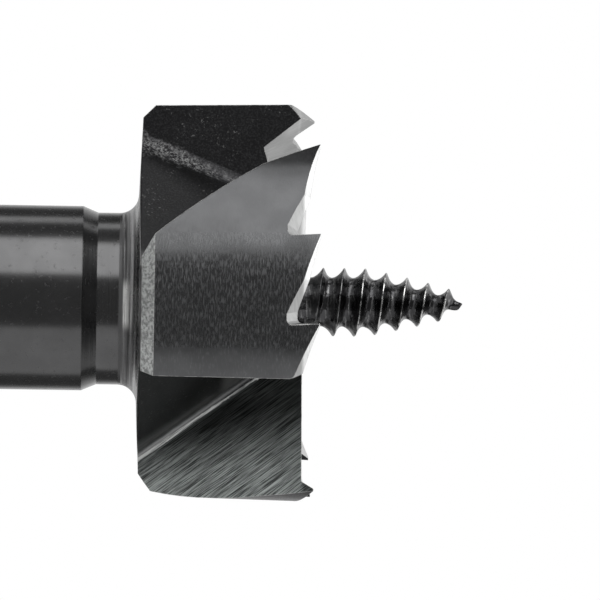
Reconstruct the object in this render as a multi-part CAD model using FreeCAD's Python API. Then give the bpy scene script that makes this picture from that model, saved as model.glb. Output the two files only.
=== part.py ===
import FreeCAD
import Part
import math
import os

# A three-wing forstner bit with a feed screw, machined from one bar of tool steel.
# It stands on the flat end of its shank, with its axis on Z and its screw pointing up.
# The bit cuts while it turns clockwise seen from the screw, as it is photographed.

# Overall sizes
overall_length = 90.0
head_diameter = 25.4
head_height = 11.02
shank_diameter = 11.7
shank_end_chamfer = 0.8

# Neck between shank and head
neck_diameter = 10.9
neck_length = 2.55
shoulder_length = 0.95
neck_flare_radius = 1.2

# Back of the head
back_cone_height = 0.2
back_chamfer = 0.8
rim_taper_deg = 1.2

# Wings: each runs from its lip to a trailing wall
wing_count = 3
wing_span_deg = 72.8
first_lip_deg = -140.6

# Rake face, measured backwards from the tooth tips
lip_rake_deg = 26.5
lip_rake_run = 3.54
flute_rake_deg = 35.6

# Chip flute: how far its floor stands from the axis, at the rake face and at the wall
root_at_rake = 2.1
root_at_rake_deg = 28.3
root_at_wall = 5.7
root_at_wall_deg = 21.2
rake_corner_radius = 0.55
wall_corner_radius = 1.4

# Lips and the dish behind them
lip_setback = 0.74
lip_relief_deg = 15.8
rim_land = 0.15
rim_bevel_deg = 38.8

# Rim teeth: where each one's tip lies behind the lip, and the gullets between them
tooth_tips_deg = (0.0, 31.3, 56.7)
gullet_depth = 2.08
gullet_ramp_run = 2.05
gullet_ramp_rise = 1.03
gullet_floor_run = 0.7
gullet_corner_radius = 0.35
rim_cut_reach = 3.0
relief_tilt_deg = 30.0
tooth_hook_deg = 3.0
last_tooth_relief_deg = 25.0
trailing_corner_radius = 0.45

# Feed screw
screw_reach = 9.43
screw_crest_diameter = 4.3
screw_thread_height = 0.62
screw_pitch = 1.336
screw_straight_length = 3.3
screw_point_power = 0.8
screw_turns = 6.6
thread_steps = 20
thread_run_in_turns = 0.5
thread_start_above_teeth = -0.9
screw_seat_depth = 5.0

# Thread profile over one pitch: share of the pitch, and share of the thread's height
thread_profile = (
    (0.0, 0.0),
    (0.17, 0.07),
    (0.34, 0.3),
    (0.49, 0.7),
    (0.59, 1.0),
    (0.72, 0.36),
    (0.85, 0.08),
)

# Positions that follow from the sizes
head_radius = head_diameter / 2
shank_radius = shank_diameter / 2
neck_radius = neck_diameter / 2
teeth_z = overall_length - screw_reach
lip_z = teeth_z - lip_setback
back_z = teeth_z - head_height
thread_start_z = teeth_z + thread_start_above_teeth
screw_seat_z = teeth_z - screw_seat_depth
neck_top_z = back_z - back_cone_height
neck_bottom_z = neck_top_z - neck_length
shank_top_z = neck_bottom_z - shoulder_length
wing_pitch_deg = 360.0 / wing_count
far = 2 * head_radius
margin = 1.0
close_enough = 1e-4

UP = FreeCAD.Vector(0, 0, 1)
AXIS = FreeCAD.Vector(0, 0, 0)


def tan(degrees):
    return math.tan(math.radians(degrees))


def on_wall(radius, z):
    # A point of the plane through the axis that carries the trailing wall of the wing ahead
    angle = math.radians(wing_span_deg - wing_pitch_deg)
    return FreeCAD.Vector(radius * math.cos(angle), radius * math.sin(angle), z)


def polygon(points):
    return Part.Wire(Part.makePolygon(list(points) + [points[0]]).Edges)


def turned(edges):
    # Spins a closed outline of the XZ plane round the axis
    return Part.Face(Part.Wire(edges)).revolve(AXIS, UP, 360)


def rz(radius, z):
    return FreeCAD.Vector(radius, 0, z)


def line(a, b):
    return Part.makeLine(a, b)


def arc(a, middle, b):
    return Part.Arc(a, middle, b).toShape()


def turned_body():
    # Shank, shoulder, neck, flared root and the round blank of the head
    chamfer = shank_end_chamfer
    foot = rz(shank_radius - chamfer, 0)
    side = rz(shank_radius, chamfer)
    shoulder = rz(shank_radius, shank_top_z)
    neck_low = rz(neck_radius, neck_bottom_z)
    flare_low = rz(neck_radius, neck_top_z - neck_flare_radius)
    flare_high = rz(neck_radius + neck_flare_radius, neck_top_z)
    bend = neck_flare_radius * (1 - math.sqrt(0.5))
    flare_mid = rz(neck_radius + bend, neck_top_z - bend)
    heel_radius = head_radius - (head_height - back_chamfer) * tan(rim_taper_deg)
    heel_low = rz(heel_radius - back_chamfer, back_z)
    heel_high = rz(heel_radius, back_z + back_chamfer)
    rim = rz(head_radius, teeth_z)
    centre_top = rz(0, teeth_z)
    centre_foot = rz(0, 0)
    return turned(
        [
            line(centre_foot, foot),
            line(foot, side),
            line(side, shoulder),
            line(shoulder, neck_low),
            line(neck_low, flare_low),
            arc(flare_low, flare_mid, flare_high),
            line(flare_high, heel_low),
            line(heel_low, heel_high),
            line(heel_high, rim),
            line(rim, centre_top),
            line(centre_top, centre_foot),
        ]
    )


def flute_section(z):
    # The flute at one height, in the frame of the wing whose lip lies along +X
    depth = teeth_z - z
    rake_y = lip_rake_run * tan(lip_rake_deg) + (depth - lip_rake_run) * tan(flute_rake_deg)
    root = FreeCAD.Vector(root_at_rake + depth * tan(root_at_rake_deg), rake_y, z)
    rake_far = FreeCAD.Vector(far, rake_y, z)
    wall_root = on_wall(root_at_wall + depth * tan(root_at_wall_deg), z)
    wall_far = on_wall(far, z)
    return polygon([root, rake_far, wall_far, wall_root])


def rising_edge(block, foot):
    # The edge of a block that climbs from a corner of its lower end
    def leaves(edge):
        ends = [vertex.Point for vertex in edge.Vertexes]
        climb = abs(ends[0].z - ends[-1].z)
        return climb > margin and min(end.distanceToPoint(foot) for end in ends) < close_enough

    return next(edge for edge in block.Edges if leaves(edge))


def flute_cutter():
    # The chip space in front of one lip, with rounded inner corners
    top = flute_section(teeth_z + margin)
    bottom = flute_section(neck_top_z - margin)
    block = Part.makeLoft([top, bottom], True, True)
    root, _, _, wall_root = (vertex.Point for vertex in bottom.OrderedVertexes)
    for corner, radius in ((root, rake_corner_radius), (wall_root, wall_corner_radius)):
        block = block.makeFillet(radius, [rising_edge(block, corner)])
    return block


def lip_gash():
    # Grinds the lip and the first tooth back to their smaller rake
    top_z = teeth_z + margin
    knee = FreeCAD.Vector(0, lip_rake_run * tan(lip_rake_deg), teeth_z - lip_rake_run)
    high = FreeCAD.Vector(0, -margin * tan(lip_rake_deg), top_z)
    ahead = FreeCAD.Vector(0, knee.y - (lip_rake_run + margin) * tan(flute_rake_deg) - margin, top_z)
    face = Part.Face(polygon([knee, high, ahead]))
    face.translate(FreeCAD.Vector(root_at_rake, 0, 0))
    return face.extrude(FreeCAD.Vector(far, 0, 0))


def dish_cutter():
    # The hollow behind one lip: a relief plane inside the bevelled rim
    rim_r = head_radius - rim_land
    low_z = back_z
    low_r = rim_r - (teeth_z - low_z) * tan(rim_bevel_deg)
    high_r = rim_r + margin * tan(rim_bevel_deg)
    bevel = turned(
        [
            line(rz(0, low_z), rz(low_r, low_z)),
            line(rz(low_r, low_z), rz(high_r, teeth_z + margin)),
            line(rz(high_r, teeth_z + margin), rz(0, teeth_z + margin)),
            line(rz(0, teeth_z + margin), rz(0, low_z)),
        ]
    )
    slope = tan(lip_relief_deg)
    edge_y = lip_setback * tan(lip_rake_deg)
    above = Part.Face(
        polygon(
            [
                FreeCAD.Vector(-far, edge_y - far, lip_z + far * slope),
                FreeCAD.Vector(-far, edge_y + far, lip_z - far * slope),
                FreeCAD.Vector(-far, edge_y + far, teeth_z + 2 * far),
                FreeCAD.Vector(-far, edge_y - far, teeth_z + 2 * far),
            ]
        )
    ).extrude(FreeCAD.Vector(2 * far, 0, 0))
    sector_edge = Part.makeLine(AXIS, FreeCAD.Vector(0, 0, overall_length + margin))
    sector_face = sector_edge.extrude(FreeCAD.Vector(2 * far, 0, 0))
    sector = sector_face.revolve(AXIS, UP, wing_pitch_deg)
    return bevel.common(above).common(sector)


def at_angle(angle_deg, tangent, z, radius):
    # A point given by its sideways distance from the radius at an angle
    angle = math.radians(angle_deg)
    out = FreeCAD.Vector(math.cos(angle), math.sin(angle), 0)
    side = FreeCAD.Vector(-math.sin(angle), math.cos(angle), 0)
    return out * radius + side * tangent + UP * z


def rim_point(angle_deg, side, z):
    # A point of the plane that touches the rim at an angle. From there a tilted cut slides
    # inwards and up, and passes the rim itself at the height that is asked for
    behind = head_radius - math.sqrt(head_radius**2 - side**2)
    return at_angle(angle_deg, side, z - behind * tan(relief_tilt_deg), head_radius)


def cut_through_rim(angle_deg, edges):
    # Runs an outline of such points through the rim, higher inside than outside
    angle = math.radians(angle_deg)
    out = FreeCAD.Vector(math.cos(angle), math.sin(angle), 0)
    slide = out - UP * tan(relief_tilt_deg)
    face = Part.Face(Part.Wire(edges))
    face.translate(slide * -rim_cut_reach)
    return face.extrude(slide * 2 * rim_cut_reach)


def gullet_cutter(tip_deg, next_deg):
    # The gap between two teeth: a slow relief, a steeper ramp, a round corner and a hooked face
    last_tip_side = head_radius * math.sin(math.radians(tip_deg - next_deg))

    def p(side, drop):
        return rim_point(next_deg, side, teeth_z - drop)

    hook = tan(tooth_hook_deg)
    above = 2 * margin
    low_side = gullet_depth * hook
    floor_side = low_side - gullet_floor_run
    ramp = p(floor_side - gullet_ramp_run, gullet_depth - gullet_ramp_rise)
    floor = p(floor_side, gullet_depth)
    floor_end = p(low_side - gullet_corner_radius, gullet_depth)
    bend = gullet_corner_radius * (1 - math.sqrt(0.5))
    corner_mid = p(low_side - bend, gullet_depth - bend)
    face_low = p((gullet_depth - gullet_corner_radius) * hook, gullet_depth - gullet_corner_radius)
    face_high = p(-above * hook, -above)
    tip = p(last_tip_side, 0)
    tip_high = p(last_tip_side, -above)
    outline = [
        line(tip_high, tip),
        line(tip, ramp),
        line(ramp, floor),
        line(floor, floor_end),
        arc(floor_end, corner_mid, face_low),
        line(face_low, face_high),
        line(face_high, tip_high),
    ]
    return cut_through_rim(next_deg, outline)


def last_relief_cutter():
    # The long relief behind the last tooth, rounded over at the trailing corner of the wing
    tip_deg = tooth_tips_deg[-1]
    corner_side = head_radius * math.sin(math.radians(wing_span_deg - tip_deg))
    relief = tan(last_tooth_relief_deg)
    turn = math.radians(90 - last_tooth_relief_deg) / 2
    tangent = trailing_corner_radius * math.tan(turn)
    inset = trailing_corner_radius * (1 / math.cos(turn) - 1)
    tilt = math.radians(last_tooth_relief_deg) + turn

    def p(side, z):
        return rim_point(tip_deg, side, z)

    corner_z = teeth_z - corner_side * relief
    tangent_run = tangent * math.cos(math.radians(last_tooth_relief_deg))
    tip = p(0, teeth_z)
    arc_start = p(corner_side - tangent_run, corner_z + tangent_run * relief)
    arc_mid = p(corner_side - inset * math.sin(tilt), corner_z - inset * math.cos(tilt))
    arc_end = p(corner_side, corner_z - tangent)
    outside = p(corner_side + margin, corner_z - tangent)
    outside_high = p(corner_side + margin, teeth_z + margin)
    tip_high = p(0, teeth_z + margin)
    outline = [
        line(tip, arc_start),
        arc(arc_start, arc_mid, arc_end),
        line(arc_end, outside),
        line(outside, outside_high),
        line(outside_high, tip_high),
        line(tip_high, tip),
    ]
    return cut_through_rim(tip_deg, outline)


def screw_root(z):
    # Radius of the screw's core: straight at first, then drawn in to the point, with a slight
    # belly where the power is below 1
    root_radius = screw_crest_diameter / 2 - screw_thread_height
    taper_z = teeth_z + screw_straight_length
    if z < taper_z:
        return root_radius
    left = (overall_length - z) / (overall_length - taper_z)
    return root_radius * max(left, 0.0) ** screw_point_power


def thread_row(step):
    # One radial section of the thread: from its root over the crest towards the next root
    turn = step / thread_steps
    angle = -2 * math.pi * turn
    grown = min(1.0, turn / thread_run_in_turns)
    row = []
    for share, rise in thread_profile:
        z = thread_start_z + screw_pitch * (turn + share)
        radius = screw_root(z) + rise * grown * min(screw_thread_height, 2 * screw_root(z))
        row.append(FreeCAD.Vector(radius * math.cos(angle), radius * math.sin(angle), z))
    return row


def flat(points):
    return Part.Face(polygon(points))


def feed_screw():
    # A tapered core with one sharp helical thread, closed strip by strip with flat facets
    last = round(screw_turns * thread_steps)
    rows = [thread_row(step) for step in range(last + thread_steps + 1)]
    roots = [row[0] for row in rows]
    feet = [FreeCAD.Vector(root.x, root.y, screw_seat_z) for root in roots[:thread_steps]]
    apex = FreeCAD.Vector(0, 0, overall_length)
    faces = [flat(feet)]
    for step in range(last):
        near = rows[step] + [roots[step + thread_steps]]
        far_side = rows[step + 1] + [roots[step + 1 + thread_steps]]
        for j in range(len(thread_profile)):
            faces.append(flat([near[j], far_side[j], far_side[j + 1]]))
            faces.append(flat([near[j], far_side[j + 1], near[j + 1]]))
    for step in range(thread_steps - 1):
        faces.append(flat([feet[step], feet[step + 1], roots[step + 1], roots[step]]))
    faces.append(flat([feet[-1], feet[0]] + rows[0] + [roots[thread_steps], roots[thread_steps - 1]]))
    faces.append(flat(rows[last] + [roots[last + thread_steps]]))
    faces.append(flat([roots[last + thread_steps], roots[last], roots[last + 1]]))
    faces.append(flat([roots[last + thread_steps], roots[last + 1], apex]))
    for step in range(last + 1, last + thread_steps):
        faces.append(flat([roots[step], roots[step + 1], apex]))
    shell = Part.makeShell(faces)
    shell.sewShape()
    screw = Part.makeSolid(shell)
    if screw.Volume < 0:
        screw.reverse()
    return screw


def cutters():
    shapes = [flute_cutter(), lip_gash(), dish_cutter(), last_relief_cutter()]
    for tip_deg, next_deg in zip(tooth_tips_deg, tooth_tips_deg[1:]):
        shapes.append(gullet_cutter(tip_deg, next_deg))
    return shapes


def bit():
    body = turned_body()
    wing_cutters = cutters()
    for wing in range(wing_count):
        for cutter in wing_cutters:
            tool = cutter.copy()
            tool.rotate(AXIS, UP, first_lip_deg + wing * wing_pitch_deg)
            body = body.cut(tool)
    return body.fuse(feed_screw()).removeSplitter()


os.makedirs("parts", exist_ok=True)
shape = bit()
print(shape.ShapeType, len(shape.Solids), shape.isValid(), shape.Volume)
shape.Solids[0].exportStep("parts/forstner_bit.step")
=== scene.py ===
"""A three-wing forstner bit with a feed screw, in blackened tool steel, on a pale studio floor.

The bit stands on the end of its shank. The camera looks at the side of its cutting head, with
the bit's axis lying across the picture and the screw pointing right. Meshes are in metres. The
materials and the sizes below are in millimetres and degrees, apart from the sizes of the floor
and the lamps, which are in metres.
"""
import math
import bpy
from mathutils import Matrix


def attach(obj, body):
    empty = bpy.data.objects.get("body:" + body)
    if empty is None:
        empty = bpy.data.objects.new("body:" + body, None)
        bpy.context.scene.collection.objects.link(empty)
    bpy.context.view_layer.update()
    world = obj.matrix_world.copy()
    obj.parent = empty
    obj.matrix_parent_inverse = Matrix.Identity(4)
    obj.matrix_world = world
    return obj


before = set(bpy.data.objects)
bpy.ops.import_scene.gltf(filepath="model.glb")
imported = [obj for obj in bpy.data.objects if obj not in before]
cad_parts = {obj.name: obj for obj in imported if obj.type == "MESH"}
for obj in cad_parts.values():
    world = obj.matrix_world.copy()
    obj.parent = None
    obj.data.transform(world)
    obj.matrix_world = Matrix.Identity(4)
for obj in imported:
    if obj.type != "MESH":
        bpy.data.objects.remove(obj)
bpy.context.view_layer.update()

from types import SimpleNamespace

import bmesh
import bpy
import numpy as np
from mathutils import Matrix, Vector

# The bit. Turned and milled from one bar of tool steel and blackened in hot oxide, then ground
# bright on its lips, teeth and reliefs. The shank and the neck keep their turned finish, and
# each ground plane keeps the marks of its wheel.
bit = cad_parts["forstner_bit"]

MM = 0.001

# Heights on the bit
TEETH_TOP = 80.57
HEAD_BACK = 69.55
RINGS_BOTTOM = 68.4
NECK_BOTTOM = 66.8
SHOULDER_BOTTOM = 65.85

# The wings: where their lips lie round the axis, and where each flute's far wall starts. That wall
# meets the flute's floor at WALL_ROOT from the axis, and further out by the slope with depth
FIRST_LIP_DEG = -140.6
WING_PITCH_DEG = 120.0
WALL_DEG = -47.2
WALL_ROOT = 5.7
WALL_ROOT_SLOPE = 0.388

# The lower plane of a rake face, on a wing turned back so that its lip lies along the first axis:
# where it looks, and two directions in it. MARKS_ACROSS leads the wheel marks over the knee to
# the upper plane without a break, and the flute's corner lies at VALLEY_ACROSS
RAKE_NORMAL = (0.0, -0.813, -0.582)
RAKE_ALONG = (0.401, 0.534, -0.745)
RAKE_ACROSS = (0.917, -0.233, 0.326)
MARKS_ACROSS = (0.916, 0.344, 0.739)
VALLEY_ACROSS = 28.4

SHANK_BLACK = (0.088, 0.088, 0.089, 1.0)
RIM_BLACK = (0.086, 0.087, 0.089, 1.0)
FLUTE_BLACK = (0.025, 0.025, 0.026, 1.0)
FLUTE_GREY = (0.24, 0.243, 0.243, 1.0)
RAKE_GREY = (0.29, 0.31, 0.302, 1.0)
VALLEY_HIGHLIGHT_GREY = (0.50, 0.51, 0.50, 1.0)
HEEL_GREY = (0.44, 0.45, 0.445, 1.0)
GROUND_STEEL = (0.82, 0.825, 0.82, 1.0)
# Bare worn steel on edges and crests, also used for the painted highlight on the flare
WORN_AND_HIGHLIGHT_GREY = (0.62, 0.62, 0.61, 1.0)
PITTED_GREY = (0.26, 0.26, 0.26, 1.0)


class Net:
    """One shader tree, with a plain call for each kind of step."""

    def __init__(self, tree):
        self.tree = tree

    def node(self, kind):
        return self.tree.nodes.new(kind)

    def give(self, value, socket):
        """A number, a tuple or another node's output goes into a socket."""
        if isinstance(value, (int, float, tuple)):
            socket.default_value = value
        else:
            self.tree.links.new(value, socket)

    def maths(self, operation, *values):
        """One arithmetic step on outputs or plain numbers."""
        node = self.node("ShaderNodeMath")
        node.operation = operation
        for value, socket in zip(values, node.inputs):
            self.give(value, socket)
        return node.outputs[0]

    def add(self, *values):
        total = values[0]
        for value in values[1:]:
            total = self.maths("ADD", total, value)
        return total

    def take(self, a, b):
        return self.maths("SUBTRACT", a, b)

    def times(self, *values):
        product = values[0]
        for value in values[1:]:
            product = self.maths("MULTIPLY", product, value)
        return product

    def inverse(self, mask):
        return self.take(1.0, mask)

    def only_on(self, mask, value):
        """A factor that holds where the mask is 1, and is 1 where the mask is 0."""
        return self.add(self.times(value, mask), self.inverse(mask))

    def rise(self, value, span, levels=(0.0, 1.0)):
        """A value carried smoothly from a span into a pair of levels, and held at both ends."""
        node = self.node("ShaderNodeMapRange")
        node.interpolation_type = "SMOOTHSTEP"
        names = ("Value", "From Min", "From Max", "To Min", "To Max")
        for name, number in zip(names, (value, *span, *levels)):
            self.give(number, node.inputs[name])
        return node.outputs["Result"]

    def fall(self, value, span):
        return self.rise(value, span, (1.0, 0.0))

    def vector(self, x, y, z):
        node = self.node("ShaderNodeCombineXYZ")
        for value, socket in zip((x, y, z), node.inputs):
            self.give(value, socket)
        return node.outputs[0]

    def split(self, vector):
        node = self.node("ShaderNodeSeparateXYZ")
        self.give(vector, node.inputs[0])
        return node.outputs[0], node.outputs[1], node.outputs[2]

    def along(self, vector, direction):
        """How far a vector reaches along a direction."""
        node = self.node("ShaderNodeVectorMath")
        node.operation = "DOT_PRODUCT"
        self.give(vector, node.inputs[0])
        self.give(direction, node.inputs[1])
        return node.outputs["Value"]

    def noise(self, vector, scale, detail, roughness):
        node = self.node("ShaderNodeTexNoise")
        self.give(vector, node.inputs["Vector"])
        for name, number in (("Scale", scale), ("Detail", detail), ("Roughness", roughness)):
            self.give(number, node.inputs[name])
        return node.outputs["Fac"]

    def mix(self, mask, a, b, way="MIX"):
        """Two colours mixed by a mask: the first where it is 0, the second where it is 1."""
        node = self.node("ShaderNodeMix")
        node.data_type = "RGBA"
        node.blend_type = way
        self.give(mask, node.inputs["Factor"])
        first, second = [socket for socket in node.inputs if socket.type == "RGBA"]
        self.give(a, first)
        self.give(b, second)
        return [socket for socket in node.outputs if socket.type == "RGBA"][0]

    def shaded(self, colour, factor):
        """A colour made darker or lighter by a factor."""
        node = self.node("ShaderNodeCombineColor")
        for socket in node.inputs:
            self.give(factor, socket)
        return self.mix(1.0, colour, node.outputs[0], "MULTIPLY")

    def bump(self, height, depth_mm, strength, normal=None):
        """The surface's normal, tilted by a height in shares of a depth in millimetres."""
        node = self.node("ShaderNodeBump")
        node.inputs["Distance"].default_value = depth_mm * MM
        node.inputs["Strength"].default_value = strength
        self.give(height, node.inputs["Height"])
        if normal is not None:
            self.give(normal, node.inputs["Normal"])
        return node.outputs["Normal"]


# A noise is given by its scale, its detail and its roughness
MARKS_NOISE = (1.0, 3.0, 0.65)


def wheel_marks_group():
    """Marks of a grinding wheel. Noise is stretched along one direction: its coordinate across
    the marks is scaled up by Fineness and its coordinate along them by Fineness over Length.
    Value runs from 0 in a groove to 1 on a ridge."""
    group = bpy.data.node_groups.new("wheel_marks", "ShaderNodeTree")
    sockets = (("Across", 0.0), ("Along", 0.0), ("Other", 0.0), ("Fineness", 8.0), ("Length", 12.0))
    for label, number in sockets:
        socket = group.interface.new_socket(label, in_out="INPUT", socket_type="NodeSocketFloat")
        socket.default_value = number
    group.interface.new_socket("Value", in_out="OUTPUT", socket_type="NodeSocketFloat")
    net = Net(group)
    given = net.node("NodeGroupInput").outputs
    made = net.node("NodeGroupOutput").inputs
    across = net.times(given["Across"], given["Fineness"])
    along = net.maths("DIVIDE", net.times(given["Along"], given["Fineness"]), given["Length"])
    place = net.vector(across, along, given["Other"])
    net.give(net.noise(place, *MARKS_NOISE), made["Value"])
    return group


WHEEL_MARKS = wheel_marks_group()


def wheel_marks(net, across, along, fineness, length):
    """The wheel marks' value for coordinates across and along the marks, in millimetres."""
    node = net.node("ShaderNodeGroup")
    node.node_tree = WHEEL_MARKS
    given = (("Across", across), ("Along", along), ("Fineness", fineness), ("Length", length))
    for name, value in given:
        net.give(value, node.inputs[name])
    return node.outputs["Value"]


def new_material(name):
    """An empty material: its shader and the shader's tree."""
    material = bpy.data.materials.new(name)
    material.use_nodes = True
    tree = material.node_tree
    tree.nodes.clear()
    shader = tree.nodes.new("ShaderNodeBsdfPrincipled")
    output = tree.nodes.new("ShaderNodeOutputMaterial")
    tree.links.new(shader.outputs["BSDF"], output.inputs["Surface"])
    return material, shader, Net(tree)


def place_on_bit(net):
    """Where a point lies on the bit, in millimetres and degrees, and where its face looks. The
    normal is split into a share away from the axis, a share round it and a share along it. The
    wing's coordinates are the same point and normal turned back onto the first axis by the
    nearest lip's angle."""
    source = net.node("ShaderNodeTexCoord")
    x, y, z = (net.times(value, 1 / MM) for value in net.split(source.outputs["Object"]))
    facing_x, facing_y, facing_z = net.split(source.outputs["Normal"])
    radius = net.maths("SQRT", net.add(net.times(x, x), net.times(y, y)))
    turn = net.maths("DEGREES", net.maths("ARCTAN2", y, x))
    away = net.add(net.times(facing_x, x), net.times(facing_y, y))
    outwards = net.maths("DIVIDE", away, radius)
    aside = net.take(net.times(facing_y, x), net.times(facing_x, y))
    sideways = net.maths("DIVIDE", aside, radius)

    from_first_wall = net.add(turn, -FIRST_LIP_DEG - WALL_DEG)
    from_wall = net.maths("FLOORED_MODULO", from_first_wall, WING_PITCH_DEG)
    from_lip = net.add(from_wall, WALL_DEG)
    wing_turn = net.maths("RADIANS", from_lip)
    cosine = net.maths("COSINE", wing_turn)
    sine = net.maths("SINE", wing_turn)
    wing_facing = net.vector(
        net.take(net.times(outwards, cosine), net.times(sideways, sine)),
        net.add(net.times(outwards, sine), net.times(sideways, cosine)),
        facing_z,
    )
    return SimpleNamespace(
        x=x,
        z=z,
        point=net.vector(x, y, z),
        radius=radius,
        turn=turn,
        arc=net.times(wing_turn, radius),
        depth=net.take(TEETH_TOP, z),
        from_wall=from_wall,
        from_lip=from_lip,
        wing_point=net.vector(net.times(radius, cosine), net.times(radius, sine), z),
        outwards=outwards,
        facing_up=facing_z,
        facing_rake=net.along(wing_facing, RAKE_NORMAL),
    )


HEAD_STARTS = (HEAD_BACK - 0.12, HEAD_BACK - 0.02)
RIM_RADII = (11.9, 12.1)
RIM_LOOKS_OUT = (0.85, 0.95)
HEEL_RADII = (10.9, 11.2)
HEEL_LOOKS_DOWN = (-0.5, -0.35)
HEEL_LOOKS_OUT = (0.3, 0.5)
GROUND_STARTS = (74.5, 75.5)
GROUND_LOOKS_UP = (0.25, 0.4)
RAKE_LOOKS = (0.93, 0.98)


def faces_of_bit(net, at):
    """A mask for each kind of face: the whole head, all that lies behind it, the rims, the heel's
    chamfer, the bright ground faces that look towards the screw, and the rake faces."""
    head = net.rise(at.z, HEAD_STARTS)
    return SimpleNamespace(
        head=head,
        shank=net.inverse(head),
        rim=net.times(
            head, net.rise(at.radius, RIM_RADII), net.rise(at.outwards, RIM_LOOKS_OUT)
        ),
        heel=net.times(
            head,
            net.rise(at.radius, HEEL_RADII),
            net.fall(at.facing_up, HEEL_LOOKS_DOWN),
            net.rise(at.outwards, HEEL_LOOKS_OUT),
        ),
        ground=net.times(
            net.rise(at.z, GROUND_STARTS), net.rise(at.facing_up, GROUND_LOOKS_UP)
        ),
        rake=net.times(head, net.rise(at.facing_rake, RAKE_LOOKS)),
    )


# Fineness and length of each kind of mark
RIM_MARKS = (11.0, 5.0)
RAKE_MARKS = (14.0, 36.0)
COARSE_MARKS = (2.4, 60.0)
GROUND_MARKS = (9.0, 14.0)
FLARE_RINGS = (7.0, 80.0)
NECK_RINGS = (5.0, 60.0)
PITS_NOISE = (6.0, 3.0, 0.65)


def marks_on_bit(net, at):
    """The wheel marks of each ground face, the turning rings, and the pits."""
    across = net.along(at.wing_point, MARKS_ACROSS)
    along = net.along(at.wing_point, RAKE_ALONG)
    return SimpleNamespace(
        rim=wheel_marks(net, at.z, at.arc, *RIM_MARKS),
        rake=wheel_marks(net, across, along, *RAKE_MARKS),
        coarse=wheel_marks(net, across, along, *COARSE_MARKS),
        ground=wheel_marks(net, at.arc, at.radius, *GROUND_MARKS),
        flare=wheel_marks(net, at.z, at.x, *FLARE_RINGS),
        neck=wheel_marks(net, at.z, at.x, *NECK_RINGS),
        pits=net.noise(at.point, *PITS_NOISE),
    )


GRAIN_NOISE = (9.0, 2.0, 0.6)
GRAIN_SPAN = (0.4, 0.7)
GRAIN_LEVELS = (0.75, 1.5)
SHOULDER_STARTS = (SHOULDER_BOTTOM - 0.04, SHOULDER_BOTTOM)
SHOULDER_ENDS = (NECK_BOTTOM - 0.1, NECK_BOTTOM)
# Painted shade: the shoulder's colour is made darker by this share
SHOULDER_SHADE_SHARE = 0.35
SPECKS_NOISE = (5.0, 3.0, 0.7)
SPECKS_SPAN = (0.6, 0.68)
SPECKLED_NOISE = (0.45, 1.0, 0.5)
SPECKLED_SPAN = (0.46, 0.62)
SPECKS_SHARE = 0.55


def oxide_black_and_shoulder_shade(net, at, faces):
    """The oxide's colours, the shank's black and a darker and grainy one in the flutes, and painted
    shade on the shoulder."""
    grain = net.rise(net.noise(at.point, *GRAIN_NOISE), GRAIN_SPAN, GRAIN_LEVELS)
    shoulder = net.times(net.rise(at.z, SHOULDER_STARTS), net.fall(at.z, SHOULDER_ENDS))
    colour = net.mix(faces.head, SHANK_BLACK, FLUTE_BLACK)
    colour = net.shaded(colour, net.only_on(faces.head, grain))
    return net.shaded(colour, net.inverse(net.times(shoulder, SHOULDER_SHADE_SHARE)))


def specks_on_head(net, at, faces):
    """Small bare specks, in some parts of the head only."""
    specks = net.rise(net.noise(at.point, *SPECKS_NOISE), SPECKS_SPAN)
    speckled = net.rise(net.noise(at.point, *SPECKLED_NOISE), SPECKLED_SPAN)
    return net.times(specks, speckled, faces.head, SPECKS_SHARE)


RINGS_START = (RINGS_BOTTOM - 0.08, RINGS_BOTTOM + 0.08)
RINGS_SPAN = (0.4, 0.62)
RINGS_LEVELS = (0.5, 1.6)
# Painted light on the flare's rings near the head
FLARE_TOP = (68.75, 69.1)
FLARE_TOP_LIGHT_LEVELS = (1.0, 2.6)
# A painted highlight on one patch of the flare, on the side that faces the camera: where it starts
# and ends up the axis, its angle and half width round the axis, and how the rings break it
FLARE_HIGHLIGHT_STARTS = (68.36, 68.44)
FLARE_HIGHLIGHT_ENDS = (68.6, 68.95)
FLARE_HIGHLIGHT_END_LEVELS = (1.0, 0.3)
FLARE_HIGHLIGHT_DEG = -86.0
FLARE_HIGHLIGHT_HALF_DEG = (9.0, 19.0)
FLARE_HIGHLIGHT_RINGS_SPAN = (0.35, 0.6)
FLARE_HIGHLIGHT_RINGS_LEVELS = (0.55, 0.8)


def turned_flare(net, at, faces, marks, colour):
    """The colour with the flare's turning rings, with painted light on them near the head, and with
    a painted highlight on one patch of them, on the side that faces the camera. The flare's mask
    comes with it."""
    flare = net.times(net.rise(at.z, RINGS_START), faces.shank)
    rings = net.times(
        net.rise(marks.flare, RINGS_SPAN, RINGS_LEVELS),
        net.rise(at.z, FLARE_TOP, FLARE_TOP_LIGHT_LEVELS),
    )
    from_highlight = net.maths("ABSOLUTE", net.add(at.turn, -FLARE_HIGHLIGHT_DEG))
    brightened = net.times(
        net.rise(at.z, FLARE_HIGHLIGHT_STARTS),
        net.rise(at.z, FLARE_HIGHLIGHT_ENDS, FLARE_HIGHLIGHT_END_LEVELS),
        net.fall(from_highlight, FLARE_HIGHLIGHT_HALF_DEG),
        flare,
        net.rise(marks.flare, FLARE_HIGHLIGHT_RINGS_SPAN, FLARE_HIGHLIGHT_RINGS_LEVELS),
    )
    colour = net.shaded(colour, net.only_on(flare, rings))
    return net.mix(brightened, colour, WORN_AND_HIGHLIGHT_GREY), flare


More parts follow.
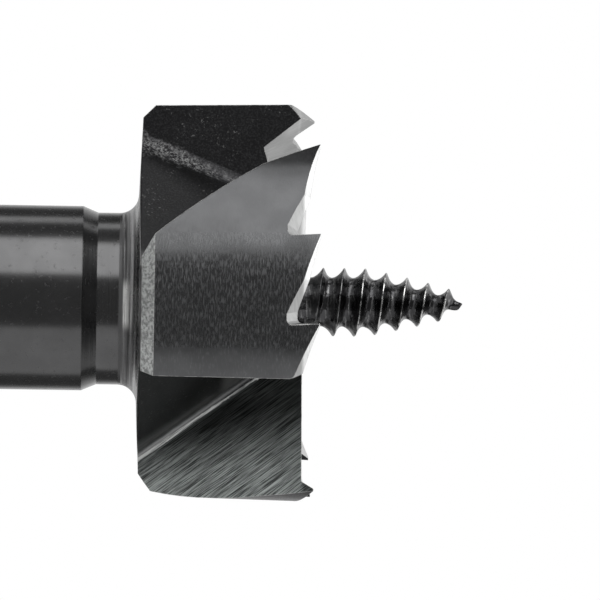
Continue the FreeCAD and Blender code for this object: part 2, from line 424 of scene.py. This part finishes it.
# Degrees behind the lip at which a rim's marks set in and fade, and at which its ends lie. The ends
# carry painted shade at the lip and painted light at the far end
MARKS_SET_IN = (26.0, 36.0)
MARKS_SET_IN_LEVELS = (0.3, 1.0)
MARKS_FADE = (61.0, 66.0)
MARKS_FADE_LEVELS = (1.0, 0.5)
LIP_END = (6.5, 10.5)
LIP_SHADE_LEVELS = (0.45, 1.0)
TRAILING_END = (62.0, 68.0)
TRAILING_LIGHT_LEVELS = (1.0, 1.45)
STREAK_SPAN = (0.5, 0.74)
STREAK_LEVELS = (0.0, 0.7)


def marked_share(net, at):
    """How strong a rim's marks are: full in the middle, and weak near the lip and the end."""
    return net.times(
        net.rise(at.from_lip, MARKS_SET_IN, MARKS_SET_IN_LEVELS),
        net.rise(at.from_lip, MARKS_FADE, MARKS_FADE_LEVELS),
    )


def rim_colour(net, at, marks, marked):
    """The rims' black, with lighter streaks, painted shade at the lip and painted light at the far
    end.
    """
    streaks = net.rise(marks.rim, STREAK_SPAN, STREAK_LEVELS)
    end_shade_and_light = net.times(
        net.rise(at.from_lip, LIP_END, LIP_SHADE_LEVELS),
        net.rise(at.from_lip, TRAILING_END, TRAILING_LIGHT_LEVELS),
    )
    return net.shaded(RIM_BLACK, net.times(end_shade_and_light, net.add(net.times(streaks, marked), 1.0)))


FLUTE_STARTS = (30.0, 36.0)
CORNER_LOOKS_AT_TOP = 0.97
CORNER_LOOKS_SLOPE = 0.032
CORNER_EDGE = (-0.04, 0.06)
CORNER_ENDS = (0.9, 0.95)
STRIP_WIDTH = (0.14, 0.4)


def flute_corner(net, at, faces, from_valley):
    """Masks for a painted highlight along the round corner between the rake face and the flute's
    floor, told by where it looks, and for the strip of floor beside it."""
    in_flute = net.times(
        faces.head,
        net.inverse(faces.rim),
        net.inverse(faces.ground),
        net.inverse(faces.heel),
        net.rise(at.from_wall, FLUTE_STARTS),
    )
    corner_start = net.take(CORNER_LOOKS_AT_TOP, net.times(at.depth, CORNER_LOOKS_SLOPE))
    corner = net.take(at.facing_rake, corner_start)
    valley_highlight = net.times(
        in_flute, net.rise(corner, CORNER_EDGE), net.fall(at.facing_rake, CORNER_ENDS)
    )
    strip = net.times(
        in_flute, net.fall(corner, CORNER_EDGE), net.fall(from_valley, STRIP_WIDTH)
    )
    return valley_highlight, strip


FINE_SPAN = (0.37, 0.62)
FINE_LEVELS = (0.22, 1.6)
COARSE_SPAN = (0.35, 0.65)
COARSE_LEVELS = (0.8, 1.15)
# Painted shade on the rake faces, darker towards the valley and the lip's inner end
PAINTED_SHADE_DEPTH = 7.3
PAINTED_SHADE_SLOPE = 0.47
PAINTED_SHADE_SPAN = (0.2, 4.2)
PAINTED_SHADE_LEVELS = (0.17, 1.15)
# Painted shade at the tooth's tip
TIP_DEPTHS = (0.5, 0.85)
TIP_LEVELS = (0.3, 1.0)


def rake_shade(net, at, marks, from_valley):
    """A rake face's shade: its marks, and painted shade towards the valley, the lip's inner end and
    the tooth's tip."""
    lowered = net.times(net.take(at.depth, PAINTED_SHADE_DEPTH), PAINTED_SHADE_SLOPE)
    return net.times(
        net.rise(marks.rake, FINE_SPAN, FINE_LEVELS),
        net.rise(marks.coarse, COARSE_SPAN, COARSE_LEVELS),
        net.rise(net.add(from_valley, lowered), PAINTED_SHADE_SPAN, PAINTED_SHADE_LEVELS),
        net.rise(at.depth, TIP_DEPTHS, TIP_LEVELS),
    )


GROUND_SPAN = (0.3, 0.7)
GROUND_LEVELS = (0.82, 1.08)
# Painted shade in the gullets and the dish, below these depths
GULLET_DEPTHS = (0.85, 1.15)
GULLET_LEVELS = (1.0, 0.44)
# Painted shade on one wing's tooth tops, between these angles round the axis
SHADED_WING_STARTS = (96.0, 99.0)
SHADED_WING_ENDS = (172.0, 175.0)
SHADED_WING_DARKER = 0.62


def ground_shade(net, at, marks):
    """The bright ground faces' shade: their marks, painted shade in the gullets and the dish, and
    painted shade on one wing's tooth tops."""
    shaded_wing = net.times(
        net.rise(at.turn, SHADED_WING_STARTS),
        net.fall(at.turn, SHADED_WING_ENDS),
        net.fall(at.depth, GULLET_DEPTHS),
    )
    return net.times(
        net.rise(marks.ground, GROUND_SPAN, GROUND_LEVELS),
        net.rise(at.depth, GULLET_DEPTHS, GULLET_LEVELS),
        net.inverse(net.times(shaded_wing, SHADED_WING_DARKER)),
    )


BAND_TOP_DEPTH = 5.0
BAND_SPREAD = 0.11
BAND_EDGE = (-0.25, 0.3)
BAND_ENDS = (12.0, 16.0)
BAND_DEPTHS = (3.5, 8.5)
RAGGED_NOISE = (1.6, 3.0, 0.6)
RAGGED_WIDTH = 1.6


def pitted_band(net, at, faces):
    """A mask for the pitted streak along the corner between the flute's floor and its far wall.
    Its half width grows with depth, and noise makes its edges ragged."""
    root = net.add(net.times(at.depth, WALL_ROOT_SLOPE), WALL_ROOT)
    from_root = net.maths("ABSOLUTE", net.take(at.radius, root))
    half_width = net.times(net.take(at.depth, BAND_TOP_DEPTH), BAND_SPREAD)
    ragged = net.times(net.take(net.noise(at.point, *RAGGED_NOISE), 0.5), RAGGED_WIDTH)
    return net.times(
        faces.head,
        net.fall(net.add(net.take(from_root, half_width), ragged), BAND_EDGE),
        net.fall(at.from_wall, BAND_ENDS),
        net.inverse(faces.rim),
        net.rise(at.depth, BAND_DEPTHS),
    )


EDGE_ROUNDING = 0.07
EDGE_SAMPLES = 6
EDGE_SPAN = (0.80, 0.985)
WORN_NOISE = (2.2, 3.0, 0.5)
WORN_SPAN = (0.36, 0.5)
WORN_LEVELS = (0.2, 1.0)


def worn_edges(net, at, faces):
    """A mask for the head's edges, where the rounded normal leaves the true one, and the rounded
    normal itself."""
    bevel = net.node("ShaderNodeBevel")
    bevel.samples = EDGE_SAMPLES
    bevel.inputs["Radius"].default_value = EDGE_ROUNDING * MM
    rounded = bevel.outputs["Normal"]
    true_facing = net.node("ShaderNodeNewGeometry").outputs["Normal"]
    edge = net.fall(net.along(rounded, true_facing), EDGE_SPAN)
    wear = net.rise(net.noise(at.point, *WORN_NOISE), WORN_SPAN, WORN_LEVELS)
    return net.times(edge, faces.head, wear), rounded


STRIP_SPAN = (0.3, 0.6)
STRIP_LEVELS = (0.5, 1.0)
VALLEY_SPAN = (0.38, 0.58)
VALLEY_LEVELS = (0.25, 1.0)
HEEL_NOISE = (5.0, 3.0, 0.6)
HEEL_SPAN = (0.36, 0.64)
HEEL_LEVELS = (0.48, 1.16)
CLOUD_NOISE = (0.55, 2.0, 0.5)
CLOUD_SPAN = (0.35, 0.65)
CLOUD_LEVELS = (0.94, 1.06)
PITS_SPAN = (0.4, 0.68)
PITS_SHARE = 0.68

STEEL_ROUGHNESS = 0.2
HEAD_ROUGHER = 0.16
BAND_ROUGHER = 0.15
RAKE_ROUGHER = 0.06
RIM_ROUGH_SPAN = (0.44, 0.66)
RIM_ROUGH_LEVELS = (-0.13, 0.13)
DULLED_NOISE = (3.5, 3.0, 0.65)
DULLED_SPAN = (0.56, 0.74)
DULLED_LEVELS = (0.0, 0.14)

RELIEF_DEPTH = 0.03
FLARE_RINGS_SHARE = 2.6
NECK_RINGS_START = (SHOULDER_BOTTOM - 0.1, SHOULDER_BOTTOM + 0.1)
NECK_RINGS_SHARE = 0.25
GROOVES_SHARE = 0.8
PITTING_SHARE = 2.2


def blackened_steel():
    """Each kind of face is told by where it lies on the bit and where it looks, and gets its own
    colour, shade, roughness and height."""
    material, shader, net = new_material("blackened_tool_steel")
    at = place_on_bit(net)
    faces = faces_of_bit(net, at)
    marks = marks_on_bit(net, at)
    from_valley = net.take(net.along(at.wing_point, RAKE_ACROSS), VALLEY_ACROSS)
    marked = marked_share(net, at)
    band = pitted_band(net, at, faces)
    worn, rounded = worn_edges(net, at, faces)

    colour = oxide_black_and_shoulder_shade(net, at, faces)
    colour, flare = turned_flare(net, at, faces, marks, colour)
    colour = net.mix(specks_on_head(net, at, faces), colour, PITTED_GREY)
    colour = net.mix(faces.rim, colour, rim_colour(net, at, marks, marked))
    valley_highlight, strip = flute_corner(net, at, faces, from_valley)
    strip_marks = net.rise(marks.coarse, STRIP_SPAN, STRIP_LEVELS)
    colour = net.mix(net.times(strip, strip_marks), colour, FLUTE_GREY)
    colour = net.mix(faces.rake, colour, RAKE_GREY)
    # A painted highlight along the flute's corner, broken by the rake's marks
    valley_marks = net.rise(marks.rake, VALLEY_SPAN, VALLEY_LEVELS)
    colour = net.mix(net.times(valley_highlight, valley_marks), colour, VALLEY_HIGHLIGHT_GREY)
    colour = net.mix(faces.heel, colour, HEEL_GREY)
    colour = net.mix(faces.ground, colour, GROUND_STEEL)
    heel_shade = net.rise(net.noise(at.point, *HEEL_NOISE), HEEL_SPAN, HEEL_LEVELS)
    shade = net.times(
        net.only_on(faces.rake, rake_shade(net, at, marks, from_valley)),
        net.only_on(faces.heel, heel_shade),
        net.only_on(faces.ground, ground_shade(net, at, marks)),
        net.rise(net.noise(at.point, *CLOUD_NOISE), CLOUD_SPAN, CLOUD_LEVELS),
    )
    colour = net.shaded(colour, shade)
    pits = net.times(net.rise(marks.pits, PITS_SPAN), band, PITS_SHARE)
    colour = net.mix(pits, colour, PITTED_GREY)
    colour = net.mix(worn, colour, WORN_AND_HIGHLIGHT_GREY)
    net.give(colour, shader.inputs["Base Color"])
    shader.inputs["Metallic"].default_value = 1.0

    dulled = net.rise(net.noise(at.point, *DULLED_NOISE), DULLED_SPAN, DULLED_LEVELS)
    rim_rough = net.rise(marks.rim, RIM_ROUGH_SPAN, RIM_ROUGH_LEVELS)
    roughness = net.add(
        STEEL_ROUGHNESS,
        net.add(net.times(faces.head, HEAD_ROUGHER), net.times(dulled, faces.shank)),
        net.times(faces.rim, marked, rim_rough),
        net.times(band, BAND_ROUGHER),
        net.times(faces.rake, RAKE_ROUGHER),
    )
    net.give(roughness, shader.inputs["Roughness"])

    neck = net.times(net.rise(at.z, NECK_RINGS_START), faces.shank)
    rings = net.add(
        net.times(marks.flare, flare, FLARE_RINGS_SHARE),
        net.times(marks.neck, neck, NECK_RINGS_SHARE),
    )
    grooves_and_pits = net.add(
        net.times(marks.rake, faces.rake, GROOVES_SHARE),
        net.times(marks.pits, band, PITTING_SHARE),
    )
    relief = net.bump(net.add(rings, grooves_and_pits), RELIEF_DEPTH, 1.0, rounded)
    net.give(relief, shader.inputs["Normal"])
    return material


bit.data.materials.clear()
bit.data.materials.append(blackened_steel())

# The feed screw's thread. It stands on the core in front of the lips, which is straight and then
# tapers to the point, and it stays black and glossy. The solid below has it in flat facets, and
# this skin is its round form.
POINT_TOP = 90.0
SCREW_CORE_RADIUS = 1.53
THREAD_HEIGHT = 0.62
THREAD_PITCH = 1.336
THREAD_START = 79.67
THREAD_RUN_IN_TURNS = 0.5
TAPER_START = 83.87
POINT_POWER = 0.8
SKIN_BOTTOM = 78.6
SKIN_PROUD = 0.02
SKIN_PROUD_CORE = 0.3
FIRST_TURN = -4.0
TURNS = 16
STEPS_A_TURN = 96
SAME_POINT_METRES = 1e-7
SHARP_EDGE_DEG = 38.0
THREAD_PROFILE = (
    (0.0, 0.0), (0.07, 0.02), (0.14, 0.07), (0.21, 0.15), (0.28, 0.26), (0.35, 0.39),
    (0.42, 0.55), (0.49, 0.74), (0.555, 0.955), (0.575, 1.0), (0.605, 1.0), (0.625, 0.95),
    (0.68, 0.66), (0.75, 0.36), (0.82, 0.18), (0.91, 0.05),
)

SCREW_BLACK = (0.055, 0.055, 0.057, 1.0)
SCREW_GREY = (0.22, 0.22, 0.22, 1.0)


def thread_skin():
    """Points on a left-hand helix. The angle falls by a full turn while the height rises by one
    pitch, plus the profile's share of the pitch. The radius is the core's, which is straight
    and then is drawn in to the point by a power of what is left of the taper, plus the profile's
    share of the thread's height, which grows over the first half turn and is never more than
    twice the core's radius."""
    turns = (np.arange(TURNS * STEPS_A_TURN) / STEPS_A_TURN + FIRST_TURN)[:, None]
    share, rise = np.array(THREAD_PROFILE).T
    height = THREAD_START + THREAD_PITCH * (turns + share)
    taper = (POINT_TOP - height) / (POINT_TOP - TAPER_START)
    core = SCREW_CORE_RADIUS * np.clip(taper, 0.0, 1.0) ** POINT_POWER
    grown = np.clip(turns / THREAD_RUN_IN_TURNS, 0.0, 1.0)
    radius = core + rise * grown * np.minimum(THREAD_HEIGHT, 2.0 * core)
    radius = radius + SKIN_PROUD * np.clip(core / SKIN_PROUD_CORE, 0.0, 1.0)
    outside = (height < SKIN_BOTTOM) | (height > POINT_TOP)
    radius = np.where(outside, 0.0, radius)
    height = np.clip(height, SKIN_BOTTOM, POINT_TOP)
    angle = -2.0 * np.pi * turns
    return np.stack([radius * np.cos(angle), radius * np.sin(angle), height], axis=-1) * MM


def helical_mesh(name, points):
    """Joins each row of profile points to the next, and the end of each profile to the start of
    the profile one turn further on. Points that fall together at the two ends are merged."""
    rows, columns = points.shape[:2]
    index = np.arange(rows * columns).reshape(rows, columns)
    last = rows - STEPS_A_TURN
    across = np.concatenate([index[:last], index[STEPS_A_TURN:, :1]], axis=1)
    corners = np.stack(
        [across[:-1, :-1], across[:-1, 1:], across[1:, 1:], across[1:, :-1]], axis=-1
    )
    mesh = bpy.data.meshes.new(name)
    mesh.from_pydata(points.reshape(-1, 3).tolist(), [], corners.reshape(-1, 4).tolist())
    work = bmesh.new()
    work.from_mesh(mesh)
    bmesh.ops.remove_doubles(work, verts=work.verts, dist=SAME_POINT_METRES)
    bmesh.ops.dissolve_degenerate(work, edges=work.edges, dist=SAME_POINT_METRES)
    loose = [vertex for vertex in work.verts if not vertex.link_faces]
    bmesh.ops.delete(work, geom=loose, context="VERTS")
    bmesh.ops.recalc_face_normals(work, faces=work.faces)
    work.to_mesh(mesh)
    work.free()
    mesh.shade_smooth()
    mesh.set_sharp_from_angle(angle=math.radians(SHARP_EDGE_DEG))
    return mesh


WEAR_NOISE = (1.7, 3.0, 0.6)
CREST_SHARE = (0.93, 1.0)
CREST_WEAR_SPAN = (0.42, 0.54)
CREST_WEAR_LEVELS = (0.1, 1.0)
NEAR_POINT = (82.6, 84.2)
NEAR_POINT_LEVELS = (0.2, 1.0)
THREAD_MARKS = (6.0, 5.0)
RUB_SPAN = (0.5, 0.72)
RUB_LEVELS = (0.0, 0.85)
GLOSS_SPAN = (0.35, 0.65)
GLOSS_LEVELS = (0.14, 0.26)
UNEVEN_NOISE = (2.6, 2.0, 0.5)
UNEVEN_DEPTH = 0.05
UNEVEN_STRENGTH = 0.8


def screw_black():
    """Glossy black oxide, bare and bright where the crests have worn, most of all near the
    point. A crest is told by how far it stands off the core, in shares of the thread's height."""
    material, shader, net = new_material("screw_black")
    source = net.node("ShaderNodeTexCoord")
    x, y, z = (net.times(value, 1 / MM) for value in net.split(source.outputs["Object"]))
    place = net.vector(x, y, z)
    wear = net.noise(place, *WEAR_NOISE)
    radius = net.maths("SQRT", net.add(net.times(x, x), net.times(y, y)))
    taper = net.maths("DIVIDE", net.take(POINT_TOP, z), POINT_TOP - TAPER_START)
    left = net.maths("POWER", net.maths("MINIMUM", taper, 1.0), POINT_POWER)
    core = net.times(left, SCREW_CORE_RADIUS)
    tall = net.maths("MINIMUM", net.times(core, 2.0), THREAD_HEIGHT)
    crest = net.maths("DIVIDE", net.take(radius, core), tall)
    bare = net.times(
        net.rise(crest, CREST_SHARE),
        net.rise(wear, CREST_WEAR_SPAN, CREST_WEAR_LEVELS),
        net.rise(z, NEAR_POINT, NEAR_POINT_LEVELS),
    )
    arc = net.times(net.maths("ARCTAN2", y, x), radius)
    brightened = net.rise(wheel_marks(net, z, arc, *THREAD_MARKS), RUB_SPAN, RUB_LEVELS)
    colour = net.mix(brightened, SCREW_BLACK, SCREW_GREY)
    net.give(net.mix(bare, colour, WORN_AND_HIGHLIGHT_GREY), shader.inputs["Base Color"])
    shader.inputs["Metallic"].default_value = 1.0
    net.give(net.rise(wear, GLOSS_SPAN, GLOSS_LEVELS), shader.inputs["Roughness"])
    uneven = net.bump(net.noise(place, *UNEVEN_NOISE), UNEVEN_DEPTH, UNEVEN_STRENGTH)
    net.give(uneven, shader.inputs["Normal"])
    return material


thread = bpy.data.objects.new("screw_thread", helical_mesh("screw_thread", thread_skin()))
bpy.context.scene.collection.objects.link(thread)
thread.data.materials.append(screw_black())
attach(thread, "root")

# The floor and the background. A round pale studio sheet carries the bit and ends in front of
# the lamps, and white fills the rest of the picture. Neither belongs to the bit.
FLOOR_RADIUS = 0.58
FLOOR_SIDES = 128
FLOOR_PALE = (0.8, 0.8, 0.8, 1.0)
FLOOR_ROUGHNESS = 0.8


def floor_sheet():
    """A flat round face: its corners stand at even angles on a circle."""
    mesh = bpy.data.meshes.new("floor")
    angles = np.linspace(0.0, 2.0 * np.pi, FLOOR_SIDES, endpoint=False)
    flat = np.zeros(FLOOR_SIDES)
    corners = FLOOR_RADIUS * np.stack([np.cos(angles), np.sin(angles), flat], axis=-1)
    mesh.from_pydata(corners.tolist(), [], [tuple(range(FLOOR_SIDES))])
    return mesh


floor = bpy.data.objects.new("floor", floor_sheet())
bpy.context.scene.collection.objects.link(floor)
floor_paint, floor_shader, _ = new_material("pale_studio_sheet")
floor_shader.inputs["Base Color"].default_value = FLOOR_PALE
floor_shader.inputs["Roughness"].default_value = FLOOR_ROUGHNESS
floor.data.materials.append(floor_paint)

WHITE = (1.0, 1.0, 1.0, 1.0)
ROOM_STRENGTH = 0.2
BEHIND_BIT = (0.0, 1.0, 0.0)
BEHIND_SPAN = (0.3, 0.8)
BEHIND_DIMMER = 0.09
SWEEP_MIDDLE = (0.0, 0.8, 0.6)
SWEEP_SPAN = (0.62, 0.82)
SWEEP_STRENGTH = 0.8


def studio_world():
    """White to the camera everywhere. To everything else it is a dim room, dimmer behind the bit,
    with a white sweep above and behind it: the strength rises where a direction nears the
    sweep's middle."""
    world = bpy.data.worlds.new("studio")
    world.use_nodes = True
    world.node_tree.nodes.clear()
    net = Net(world.node_tree)
    output = net.node("ShaderNodeOutputWorld")
    towards = net.node("ShaderNodeTexCoord").outputs["Generated"]
    sweep = net.rise(net.along(towards, SWEEP_MIDDLE), SWEEP_SPAN)
    behind = net.rise(net.along(towards, BEHIND_BIT), BEHIND_SPAN)
    plain = net.take(ROOM_STRENGTH, net.times(behind, BEHIND_DIMMER))
    room = net.node("ShaderNodeBackground")
    room.inputs["Color"].default_value = WHITE
    net.give(net.add(plain, net.times(sweep, SWEEP_STRENGTH)), room.inputs["Strength"])
    white = net.node("ShaderNodeBackground")
    white.inputs["Color"].default_value = WHITE
    white.inputs["Strength"].default_value = 1.0
    choose = net.node("ShaderNodeMixShader")
    net.give(net.node("ShaderNodeLightPath").outputs["Is Camera Ray"], choose.inputs["Fac"])
    net.give(room.outputs[0], choose.inputs[1])
    net.give(white.outputs[0], choose.inputs[2])
    net.give(choose.outputs[0], output.inputs["Surface"])
    return world


bpy.context.scene.world = studio_world()

# The lamps. A wide soft box and a narrow one stand on the side that is up in the picture, a
# weaker one fills from below it, and one hangs over the screw. They are plain, soft and white.
HEAD_CENTRE = Vector((0, 0, 0.075))
LAMP_DISTANCE = 0.6


def soft_box(name, round_deg, spread_deg, rise_deg, tall_deg, brightness):
    """A rectangular lamp that faces the head. Round_deg is its place round the bit's axis, from
    the camera towards the top of the picture, and spread_deg how wide it looks from the head.
    Rise_deg and tall_deg are the same up the axis."""
    round_angle, rise_angle = math.radians(round_deg), math.radians(rise_deg)
    level = Vector((-math.sin(round_angle), -math.cos(round_angle), 0))
    away = level * math.cos(rise_angle) + Vector((0, 0, math.sin(rise_angle)))
    side = away.cross(Vector((0, 0, 1))).normalized()
    top = side.cross(away)
    lamp = bpy.data.lights.new(name, "AREA")
    lamp.shape = "RECTANGLE"
    lamp.size = 2 * LAMP_DISTANCE * math.tan(math.radians(spread_deg / 2))
    lamp.size_y = 2 * LAMP_DISTANCE * math.tan(math.radians(tall_deg / 2))
    lamp.energy = brightness * math.pi * lamp.size * lamp.size_y
    box = bpy.data.objects.new(name, lamp)
    bpy.context.scene.collection.objects.link(box)
    turned = Matrix((side, top, away)).transposed().to_4x4()
    box.matrix_world = Matrix.Translation(HEAD_CENTRE + away * LAMP_DISTANCE) @ turned


soft_box("key", round_deg=55, spread_deg=50, rise_deg=0, tall_deg=70, brightness=2.8)
soft_box("edge_strip", round_deg=114, spread_deg=12, rise_deg=0, tall_deg=60, brightness=1.5)
soft_box("fill", round_deg=-74, spread_deg=74, rise_deg=0, tall_deg=70, brightness=0.85)
soft_box("top", round_deg=0, spread_deg=60, rise_deg=89, tall_deg=60, brightness=1.2)

# The camera. A long lens 0.4 m away, about level with the head, rolled so that the axis of the bit
# lies across the picture and falls a little to the right.
CAMERA_PLACE = Vector((-0.1, -400.0, 68.26)) * MM
CAMERA_AIM = Vector((-0.1, 0.0, 79.67)) * MM
CAMERA_ROLL_DEG = 0.9
CAMERA_LENS = 378.0
CAMERA_SENSOR = 36.0
CAMERA_NEAR = 0.01
camera_data = bpy.data.cameras.new("camera")
camera_data.sensor_width = CAMERA_SENSOR
camera_data.lens = CAMERA_LENS
camera_data.clip_start = CAMERA_NEAR
camera = bpy.data.objects.new("camera", camera_data)
bpy.context.scene.collection.objects.link(camera)
back = (CAMERA_PLACE - CAMERA_AIM).normalized()
up = Matrix.Rotation(math.radians(CAMERA_ROLL_DEG), 3, back) @ Vector((-1, 0, 0))
right = up.cross(back).normalized()
up = back.cross(right)
turned = Matrix((right, up, back)).transposed().to_4x4()
camera.matrix_world = Matrix.Translation(CAMERA_PLACE) @ turned
bpy.context.scene.camera = camera
bpy.context.scene.view_settings.view_transform = "Standard"
